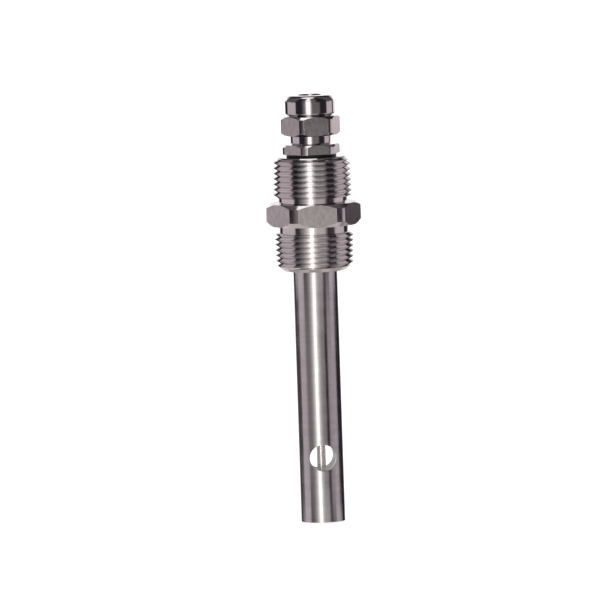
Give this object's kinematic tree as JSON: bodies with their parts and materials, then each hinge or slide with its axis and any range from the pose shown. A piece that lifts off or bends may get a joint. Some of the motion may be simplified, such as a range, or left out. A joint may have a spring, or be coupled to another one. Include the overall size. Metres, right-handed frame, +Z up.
{
  "type": "conductivity probe",
  "caption": "Stainless insertion probe: drilled tube around a central electrode rod, double-ended pipe thread fitting with milled hexagon, and a screwed cable gland on top.",
  "frame": {"origin": "centre of the lower end face of the outer electrode tube, on the probe's axis", "axes": "+Z up the axis from the open tube end to the cable gland; -Y is the front, which one flat of the big hexagon and the flow hole face; +X is to the right seen from the front"},
  "size_m": [0.0322, 0.0296, 0.1453],
  "materials": {
    "fitting_steel": "turned stainless steel with milled hexagon flats",
    "tube_steel": "drawn stainless tube, lightly brushed",
    "electrode_steel": "ground stainless rod",
    "insulator_plastic": "white fluoropolymer",
    "black_rubber": "black sealing rubber",
    "small_steel": "turned stainless steel",
    "tinned_brass": "tinned brass",
    "sensor_ceramic": "white ceramic",
    "red_insulation": "red wire insulation",
    "blue_insulation": "blue wire insulation",
    "green_insulation": "green wire insulation",
    "liner_plastic": "thin white insulating sleeve",
    "board_laminate": "green glass-fibre laminate",
    "pin_brass": "gold-plated brass",
    "gland_metal": "nickel-bright metal, polished cap and brushed hexagon",
    "gland_rubber": "black rubber",
    "cage_plastic": "black polyamide",
    "slip_plastic": "natural acetal"
  },
  "bodies": {
    "probe": {"process_fitting": "fitting_steel", "outer_electrode_tube": "tube_steel", "inner_electrode_rod": "electrode_steel", "rod_tip_plug": "electrode_steel", "electrode_insulator": "insulator_plastic", "insulator_o_ring": "black_rubber", "rod_o_ring": "black_rubber", "retaining_ring": "small_steel", "rod_washer": "small_steel", "rod_nuts": "small_steel", "rod_lug": "tinned_brass", "ground_lug": "tinned_brass", "ground_screw": "small_steel", "temperature_sensor": "sensor_ceramic", "temperature_sensor_leads": "red_insulation", "rod_lead": "blue_insulation", "ground_lead": "green_insulation", "insulating_liner": "liner_plastic", "terminal_board": "board_laminate", "terminal_pins": "pin_brass"},
    "gland_seal_ring": {"gland_o_ring": "black_rubber"},
    "gland": {"gland_body": "gland_metal", "gland_seal": "gland_rubber", "gland_clamp_cage": "cage_plastic"},
    "slip_ring": {"gland_slip_ring": "slip_plastic"},
    "dome_nut": {"gland_dome_nut": "gland_metal"}
  },
  "joints": [
    {"name": "gland_lift", "type": "slide", "parent": "probe", "child": "gland_seal_ring", "axis": [0, 0, 1], "range_m": [0, 0.0076]},
    {"name": "gland_turn", "type": "hinge", "parent": "gland_seal_ring", "child": "gland", "pos_m": [0, 0, 0.125], "axis": [0, 0, 1], "range_deg": [0, 1800]},
    {"name": "nut_lift", "type": "slide", "parent": "gland", "child": "slip_ring", "axis": [0, 0, 1], "range_m": [0, 0.0051]},
    {"name": "nut_turn", "type": "hinge", "parent": "slip_ring", "child": "dome_nut", "pos_m": [0, 0, 0.1385], "axis": [0, 0, 1], "range_deg": [0, 1800]}
  ],
  "couplings": [
    {"joint": "gland_lift", "follows": "gland_turn", "m_per_rad": 0.00023873},
    {"joint": "nut_lift", "follows": "nut_turn", "m_per_rad": 0.00015915}
  ]
}
